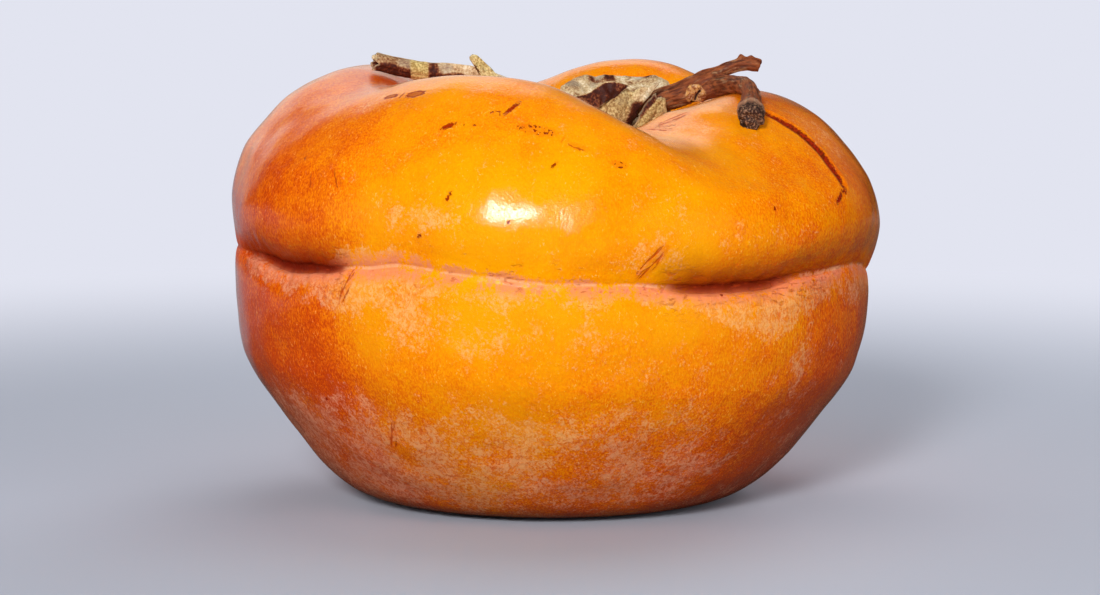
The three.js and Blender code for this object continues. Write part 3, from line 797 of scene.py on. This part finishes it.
class Paint:
    """The nodes of a new material or world, added one call at a time. Most calls give back a socket."""

    def __init__(self, name, owners=bpy.data.materials):
        self.owner = owners.new(name)
        self.owner.use_nodes = True
        self.tree = self.owner.node_tree
        self.tree.nodes.clear()

    def node(self, kind, inputs=(), **settings):
        made = self.tree.nodes.new("ShaderNode" + kind)
        for key, value in settings.items():
            setattr(made, key, value)
        for key, value in dict(inputs).items():
            if isinstance(value, bpy.types.NodeSocket):
                self.tree.links.new(value, made.inputs[key])
            else:
                made.inputs[key].default_value = value
        return made

    def output(self, kind, inputs, **settings):
        return self.node(kind, inputs, **settings).outputs[0]

    def place(self):
        """The place on the object, in millimetres."""
        metres = self.node("TexCoord").outputs["Object"]
        return self.vector("SCALE", metres, scale=1 / MM)

    def vector(self, operation, a, b=(0, 0, 0), scale=1.0):
        return self.output("VectorMath", {0: a, 1: b, 3: scale}, operation=operation)

    def math(self, operation, a, b=0.5, limit=0.5):
        return self.output("Math", {0: a, 1: b, 2: limit}, operation=operation)

    def times(self, *factors):
        return reduce(partial(self.math, "MULTIPLY"), factors)

    def plus(self, *terms):
        return reduce(partial(self.math, "ADD"), terms)

    def attribute(self, label):
        return self.node("Attribute", attribute_name=label).outputs["Vector"]

    def parts(self, vector):
        return self.node("SeparateXYZ", {0: vector}).outputs[:]

    def value(self, label):
        return self.node("Attribute", attribute_name=label).outputs["Fac"]

    def noise(self, place, scale, detail=2.0, rough=0.5, twist=0.0, squash=None):
        if squash:
            place = self.vector("MULTIPLY", place, squash)
        inputs = {"Vector": place, "Scale": scale, "Detail": detail, "Roughness": rough}
        return self.output("TexNoise", {**inputs, "Distortion": twist})

    def ease(self, value, low, high, start=0.0, end=1.0):
        """Eases from start to end as value goes from low to high."""
        inputs = {"Value": value, "From Min": low, "From Max": high, "To Min": start, "To Max": end}
        return self.output("MapRange", inputs, interpolation_type="SMOOTHSTEP")

    def mix(self, share, under, over):
        inputs = {0: share, 6: under, 7: over}
        return self.node("Mix", inputs, data_type="RGBA").outputs[2]

    def coat(self, share, colour):
        """Lays a colour over the colour so far."""
        self.colour = self.mix(share, self.colour, colour)

    def ramp(self, value, stops):
        """The colour at value on a ramp through stops of place and colour."""
        made = self.node("ValToRGB", {"Fac": value})
        elements = made.color_ramp.elements
        for spot, _ in stops[1:-1]:
            elements.new(spot)
        for element, (spot, colour) in zip(elements, stops):
            element.position = spot
            element.color = colour
        return made.outputs[0]

    def bump(self, height, distance):
        return self.output("Bump", {"Height": height, "Distance": distance * MM})

    def finish(self, inputs):
        shader = self.output("BsdfPrincipled", {"Base Color": self.colour, **inputs})
        self.node("OutputMaterial", {"Surface": shader})
        return self.owner


SKIN_COLOURS = [
    (0.0, srgb(255, 166, 2)), (0.25, srgb(252, 144, 2)), (0.5, srgb(244, 118, 2)),
    (0.75, srgb(228, 86, 2)), (1.0, srgb(204, 58, 2)),
]
LEAF_COLOURS = [
    (0.0, srgb(58, 18, 8)), (0.2, srgb(104, 44, 20)), (0.42, srgb(150, 105, 66)),
    (0.62, srgb(196, 164, 120)), (0.8, srgb(216, 192, 150)), (1.0, srgb(238, 224, 196)),
]


# Painted shade above the crease: where it starts and ends, its strength, and its colour.
FOLD_SHADES = [(0.2, 7.5, 0.85, srgb(178, 50, 2)), (0.3, 3.4, 0.8, srgb(122, 26, 4))]


def lay_marks(paint, place, grain):
    """Lays the marks over the colour so far, and gives how strong a mark is at each place."""
    run, across, _ = paint.parts(paint.attribute("mark"))
    half_length, half_width, kind = paint.parts(paint.attribute("mark_size"))
    lengthwise = paint.math("DIVIDE", run, paint.plus(half_length, half_width))
    crosswise = paint.math("DIVIDE", across, half_width)
    oval = paint.plus(paint.math("POWER", lengthwise, 2), paint.math("POWER", crosswise, 2))
    outside = paint.times(paint.math("SUBTRACT", paint.math("SQRT", oval), 1), half_width)
    uneven = paint.noise(place, 3, 3, 0.7)
    outside = paint.plus(outside, paint.ease(uneven, 0.3, 0.7, -0.14, 0.14))
    drawn_out = paint.output("CombineXYZ", {0: paint.times(run, 0.12), 1: across, 2: kind})
    lines = paint.noise(drawn_out, 2.4, 2, 0.6, 0.3)
    drawn = {
        SCRATCHED: paint.ease(lines, 0.52, 0.6, 0, 0.8),
        DOTTED: paint.ease(paint.noise(place, 2.3, 1), 0.58, 0.63),
    }
    inks = {
        SOLID: srgb(150, 24, 4),
        SCRATCHED: srgb(188, 56, 10),
        DOTTED: srgb(140, 32, 4),
        SCAR: paint.mix(paint.ease(outside, -0.3, -0.12), srgb(190, 96, 26), srgb(146, 30, 4)),
        SPLIT: paint.mix(paint.ease(grain, 0.42, 0.52), srgb(84, 4, 8), srgb(150, 22, 12)),
    }
    flush = paint.times(paint.ease(outside, -0.1, 0.35, 0.28, 0), paint.ease(kind, 0.2, 0.9))
    paint.coat(flush, srgb(226, 78, 10))
    scored = None
    for number, ink in inks.items():
        same = paint.times(paint.math("COMPARE", kind, number, limit=0.3), drawn.get(number, 1.0))
        share = paint.times(same, paint.ease(outside, -0.08, 0.08, 0.92, 0))
        paint.coat(share, ink)
        scored = paint.math("MAXIMUM", scored, share) if scored else share
    return scored


def fruit_paint():
    paint = Paint("persimmon skin")
    place = paint.place()
    fold = paint.value("fold")
    deep = paint.value("deep")
    clouds = paint.noise(place, 0.07, 3, 0.6)
    patches = paint.noise(place, 0.3, 6, 0.72, squash=(1, 1, 0.8))
    mottle = paint.noise(place, 0.8, 4, 0.7)
    grain = paint.noise(place, 2.6, 3, 0.65)
    stipple = paint.noise(place, 4.2, 2, 0.6, 0.6, squash=(1, 1, 0.5))

    tone = paint.plus(paint.value("tone"), paint.ease(clouds, 0.25, 0.75, -0.16, 0.16))
    varied = paint.ease(patches, 0.25, 0.75, -0.18, 0.18)
    varied = paint.plus(varied, paint.ease(stipple, 0.3, 0.7, 0.26, -0.26))
    lively = paint.ease(tone, 0.05, 0.5, 0.25, 1)
    paint.colour = paint.ramp(paint.plus(tone, paint.times(varied, lively)), SKIN_COLOURS)
    paint.coat(paint.ease(grain, 0.3, 0.7, 0.14, 0), srgb(232, 118, 4))

    # The pale bloom: ragged at its edges, flecked, and pinker in the fold and where the skin is red.
    ragged = paint.plus(
        paint.value("bloom"),
        paint.ease(patches, 0.25, 0.75, -0.55, 0.55),
        paint.ease(grain, 0.25, 0.75, -0.3, 0.3),
    )
    aside = paint.math("ABSOLUTE", fold)
    flecks = paint.noise(place, 1.3, 6, 0.78, 0.9, squash=(1, 1, 0.7))
    flecks = paint.ease(flecks, 0.43, 0.57, 0.16, 0.92)
    flecks = paint.math("MAXIMUM", flecks, paint.ease(aside, 0.5, 3.5, 0.7, 0))
    haze = paint.times(paint.ease(ragged, 0.36, 0.82), flecks)
    pink = paint.mix(paint.ease(aside, 0.8, 3), srgb(236, 136, 100), srgb(250, 176, 100))
    pink = paint.mix(paint.ease(tone, 0.3, 0.9), pink, srgb(236, 148, 112))
    paint.coat(haze, pink)
    spots = paint.times(paint.ease(stipple, 0.6, 0.68), paint.ease(mottle, 0.5, 0.62, 0, 0.4))
    paint.coat(spots, srgb(255, 206, 130))

    # The fold: painted shade where it is deep, a pale seam where it is shallow, and puckers where it
    # ends.
    above = paint.ease(fold, -0.4, 0.1)
    # Painted shade on the underside of the upper lip, above the crease.
    for start, end, strength, red in FOLD_SHADES:
        shade = paint.times(paint.ease(fold, start, end, strength, 0), above, deep)
        paint.coat(shade, red)
    # A painted dark line of shade in the crease where the fold is deep.
    line = paint.math("ABSOLUTE", paint.math("SUBTRACT", fold, 0.15))
    line = paint.times(paint.ease(line, 0.1, 0.5, 0.85, 0), deep)
    paint.coat(line, srgb(104, 22, 8))
    seam = paint.times(paint.ease(aside, 0.08, 0.26, 0.6, 0), haze)
    seam = paint.times(seam, paint.ease(deep, 0.1, 0.5, 1, 0))
    paint.coat(seam, srgb(252, 190, 140))
    ends = paint.times(paint.ease(deep, 0.02, 0.3), paint.ease(deep, 0.6, 1, 1, 0.2))
    near = paint.math("MAXIMUM", ends, paint.ease(patches, 0.5, 0.65))
    near = paint.times(paint.ease(aside, 0.5, 6, 1, 0), near)
    puckers = paint.noise(place, 2.2, 3, 0.65, 0.8, squash=(0.3, 0.3, 1))
    puckers = paint.times(paint.ease(puckers, 0.46, 0.36), near)
    paint.coat(paint.times(puckers, 0.5), srgb(198, 74, 30))

    scored = lay_marks(paint, place, grain)

    height = paint.plus(paint.times(paint.noise(place, 0.8, 2), 0.7), paint.times(grain, 0.5))
    height = paint.math("SUBTRACT", height, paint.times(puckers, 0.5))
    height = paint.math("SUBTRACT", height, paint.times(scored, 0.6))
    fine = paint.plus(height, paint.times(paint.noise(place, 3.4, 2, 0.6), 0.7))
    waxy = paint.times(paint.ease(haze, 0, 0.75, 1, 0.75), paint.ease(aside, 1, 3.5, 0.15, 1))
    return paint.finish({
        "Roughness": paint.ease(haze, 0, 0.75, 0.38, 0.5),
        "Specular IOR Level": 0.03,
        "Specular Tint": srgb(255, 226, 200),
        "Coat Weight": paint.times(waxy, paint.ease(scored, 0, 0.8, 1, 0.2)),
        "Coat Roughness": 0.085,
        "Normal": paint.bump(height, 0.18),
        "Coat Normal": paint.bump(fine, 0.045),
    })


def leaf_paint():
    paint = Paint("dry calyx")
    place = paint.place()
    tone = paint.value("tone")
    mottle = paint.noise(place, 0.55, 4, 0.6, 0.6)
    grain = paint.noise(place, 3.2, 2, 0.6)
    level = paint.plus(
        tone,
        paint.ease(mottle, 0.3, 0.7, -0.14, 0.14),
        paint.ease(grain, 0.3, 0.7, -0.2, 0.16),
        paint.ease(paint.value("vein"), -1.5, 1.5, -0.05, 0.05),
    )
    grey = paint.ease(paint.noise(place, 0.35, 2), 0.5, 0.65)
    gold = paint.mix(paint.ease(grain, 0.35, 0.65), srgb(166, 134, 68), srgb(224, 200, 128))
    paint.colour = paint.ramp(level, LEAF_COLOURS)
    paint.coat(paint.times(grey, paint.ease(tone, 0.3, 0.6, 0, 0.5)), srgb(150, 136, 120))
    paint.coat(paint.times(paint.value("yellow"), paint.ease(tone, 0.3, 0.6, 0, 0.85)), gold)
    paint.coat(paint.ease(paint.value("edge"), 0.4, 1, 0, 0.45), srgb(205, 180, 140))
    return paint.finish({
        "Roughness": paint.ease(mottle, 0.3, 0.7, 0.6, 0.85),
        "Normal": paint.bump(paint.plus(mottle, grain), 0.1),
    })


def bark_paint():
    paint = Paint("persimmon bark")
    place = paint.place()
    bark = paint.attribute("bark")
    streaks = paint.noise(bark, 2.6, 4, 0.62, 0.3, squash=(0.22, 1, 1))
    blotches = paint.noise(bark, 0.7, 3, 0.6, squash=(0.5, 1, 1))
    speck = paint.noise(place, 3.4, 2, 0.6)
    grey = paint.noise(bark, 1.2, 4, 0.65, squash=(0.3, 1, 1))
    lumps = paint.noise(place, 1.5, 3, 0.65)
    ends = paint.mix(paint.ease(speck, 0.45, 0.66), srgb(52, 26, 20), srgb(150, 112, 86))
    ends = paint.mix(paint.ease(paint.value("crack"), 0.05, 0.4, 1, 0), ends, srgb(14, 7, 6))
    scar = paint.mix(paint.ease(lumps, 0.4, 0.58), srgb(140, 74, 36), srgb(214, 160, 92))
    scar = paint.mix(paint.ease(speck, 0.5, 0.68, 0, 0.7), scar, srgb(232, 196, 156))
    paint.colour = srgb(80, 32, 14)
    paint.coat(paint.ease(streaks, 0.36, 0.62), srgb(156, 86, 46))
    paint.coat(paint.ease(blotches, 0.42, 0.62, 0, 0.5), srgb(118, 50, 22))
    paint.coat(paint.ease(grey, 0.54, 0.68, 0, 0.6), srgb(178, 138, 98))
    paint.coat(paint.ease(paint.value("ridge"), -2, -0.7, 0.6, 0), srgb(54, 22, 12))
    paint.coat(paint.value("cork"), ends)
    paint.coat(paint.times(paint.value("collar"), 0.45), srgb(196, 160, 130))
    paint.coat(paint.ease(paint.value("bud"), 0.2, 0.7, 0, 0.9), scar)
    paint.coat(paint.ease(paint.value("slit"), 0.2, 0.7), srgb(52, 18, 12))
    return paint.finish({
        "Roughness": paint.ease(streaks, 0.3, 0.7, 0.55, 0.8),
        "Normal": paint.bump(paint.plus(streaks, paint.times(speck, 0.5)), 0.14),
    })


# ---- assembly


def settle(piece, material, slot, *nodes):
    piece.data.materials.append(material)
    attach(piece, "root")
    if nodes:
        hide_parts(*nodes)


fruit = fruit_piece()
skin = BVHTree.FromPolygons(
    [tuple(vertex.co / MM) for vertex in fruit.data.vertices],
    [tuple(polygon.vertices) for polygon in fruit.data.polygons],
)
settle(fruit, fruit_paint(), "fruit", "fruit")

dry = leaf_paint()
settle(disc(), dry, "calyx", "calyx")
# Name, rows of its shape, points along and across, seed, raggedness, crumple and colours.
LEAVES = [
    ("sepal_left", strap(LEFT_SEPAL, 10), (130, 64), 41, 0.03, 0.1, left_tone),
    ("sepal_left_strip", LEFT_STRIP, (30, 24), 47, 0.05, 0.12, strip_tone),
    ("sepal_front", FRONT_SEPAL, (70, 64), 53, 0.1, 0.22, front_tone),
    ("sepal_front_fold", FRONT_FOLD, (36, 60), 59, 0.12, 0.18, fold_tone),
    ("sepal_right", RIGHT_SEPAL, (60, 60), 67, 0.1, 0.3, right_tone),
    ("sepal_back", BACK_SEPAL, (70, 80), 73, 0.07, 0.2, back_tone),
]
for details in LEAVES:
    settle(leaf(*details, skin), dry, "calyx")

settle(stem_piece(), bark_paint(), "stem", "stem")

# ---- floor, light and camera

CAMERA_DISTANCE = 447
CAMERA_ELEVATION = math.radians(6)
CAMERA_AIM = (0, 0, 32)
CAMERA_LENS = 100
SENSOR_WIDTH = 36
# The view lies this share of its width lower, so the aim is a little above its middle.
CAMERA_SHIFT = -22.5 / 1100
FLOOR_SIDES = 96
FLOOR_RADII = (200, 4000)
FLOOR_COLOUR = srgb(184, 189, 201)
UNSEEN_FLOOR_COLOUR = srgb(82, 74, 68)
FLOOR_FADE = (120, 330)
BACKDROP_COLOUR = srgb(226, 228, 240)
MIRRORED_COLOUR = srgb(244, 226, 212)
WORLD_DIFFUSE = (0.1, 0.3)
WORLD_GLOSSY = (0.02, 3.2)
# Name, place, width and height, watts, and for one of them that the skin mirrors it.
LAMPS = [
    ("key", (-165, -700, 325), (150, 170), 2.6),
    ("glint", (-120, -700, 285), (130, 190), 2.8, True),
    ("fill", (580, -440, 160), (500, 400), 1.7),
    ("left", (-640, -200, 100), (400, 300), 0.9),
    ("top", (60, 160, 620), (520, 420), 0.75),
    ("back", (340, 620, 220), (500, 400), 3.4),
    ("back left", (-440, 560, 160), (400, 300), 1.2),
]


def floor_paint():
    """Pale, and fading into the backdrop's colour away from the object. Its bounced light is weaker."""
    paint = Paint("floor")
    place = paint.place()
    distance = paint.node("VectorMath", {0: place}, operation="LENGTH").outputs["Value"]
    path = paint.node("LightPath").outputs
    shown = paint.mix(path["Is Camera Ray"], UNSEEN_FLOOR_COLOUR, FLOOR_COLOUR)
    matt = paint.output("BsdfDiffuse", {"Color": shown})
    glow = paint.output("Emission", {"Color": BACKDROP_COLOUR, "Strength": 1})
    x, y, _ = paint.parts(place)
    # Behind the object the floor glows with the backdrop's colour for mirrored rays: a painted glow that
    # the skin reflects.
    behind = paint.times(paint.ease(y, 40, 160), paint.ease(x, -30, 10, 0.4, 0))
    faded = paint.times(path["Is Camera Ray"], paint.ease(distance, *FLOOR_FADE))
    share = paint.math("MAXIMUM", faded, paint.times(path["Is Glossy Ray"], behind))
    mixed = paint.output("MixShader", {0: share, 1: matt, 2: glow})
    paint.node("OutputMaterial", {"Surface": mixed})
    return paint.owner


def floor_piece():
    angles = np.arange(FLOOR_SIDES) * 2 * np.pi / FLOOR_SIDES
    points = np.concatenate([*[circle(radius, angles) for radius in FLOOR_RADII], [(0, 0, 0)]])
    faces = ring_faces(len(FLOOR_RADII), FLOOR_SIDES)
    faces += [(len(points) - 1, (side + 1) % FLOOR_SIDES, side) for side in range(FLOOR_SIDES)]
    floor = make_mesh("floor", points, [face[::-1] for face in faces], {})
    floor.data.materials.append(floor_paint())


def world_light():
    """Plain where it is seen directly, brighter behind the object than before it where it lights it,
    and mirrored only from behind and from the left."""
    paint = Paint("studio", bpy.data.worlds)
    x, y, z = paint.parts(paint.node("TexCoord").outputs["Generated"])
    path = paint.node("LightPath").outputs

    def where(ray, seen, otherwise):
        return paint.output("Mix", {0: path[ray], 2: otherwise, 3: seen})

    diffuse = paint.ease(y, -0.3, 0.7, *WORLD_DIFFUSE)
    leftward = paint.times(paint.math("MINIMUM", x, 0), 0.35)
    glossy = paint.ease(paint.plus(y, leftward), 0.62, 0.65, *WORLD_GLOSSY)
    low = paint.ease(y, 0.66, 0.92, 1, 0.17)
    high = paint.ease(z, 0, 0.15, 0, 0.36)
    glossy = paint.times(glossy, paint.math("MAXIMUM", low, high))
    glossy = paint.times(glossy, paint.ease(x, -0.02, 0.2, 1, 0.03))
    strength = where("Is Camera Ray", 1.0, where("Is Glossy Ray", glossy, diffuse))
    colour = paint.mix(path["Is Glossy Ray"], BACKDROP_COLOUR, MIRRORED_COLOUR)
    light = paint.output("Background", {"Color": colour, "Strength": strength})
    paint.node("OutputWorld", {"Surface": light})
    bpy.context.scene.world = paint.owner


def lamp(name, place, size, watts, mirrored=False):
    data = bpy.data.lights.new(name, "AREA")
    data.shape = "ELLIPSE"
    data.size, data.size_y = (side * MM for side in size)
    data.energy = watts
    item = bpy.data.objects.new(name, data)
    item.location = Vector(place) * MM
    item.visible_glossy = mirrored
    item.rotation_euler = (Vector(CAMERA_AIM) - Vector(place)).to_track_quat("-Z", "Y").to_euler()
    bpy.context.scene.collection.objects.link(item)


def studio():
    scene = bpy.context.scene
    scene.view_settings.view_transform = "Standard"
    world_light()
    floor_piece()
    for details in LAMPS:
        lamp(*details)
    data = bpy.data.cameras.new("camera")
    data.lens = CAMERA_LENS
    data.sensor_width = SENSOR_WIDTH
    data.shift_y = CAMERA_SHIFT
    camera = bpy.data.objects.new("camera", data)
    away = Vector((0, -math.cos(CAMERA_ELEVATION), math.sin(CAMERA_ELEVATION)))
    camera.location = (Vector(CAMERA_AIM) + away * CAMERA_DISTANCE) * MM
    camera.rotation_euler = (-away).to_track_quat("-Z", "Y").to_euler()
    scene.collection.objects.link(camera)
    scene.camera = camera


studio()
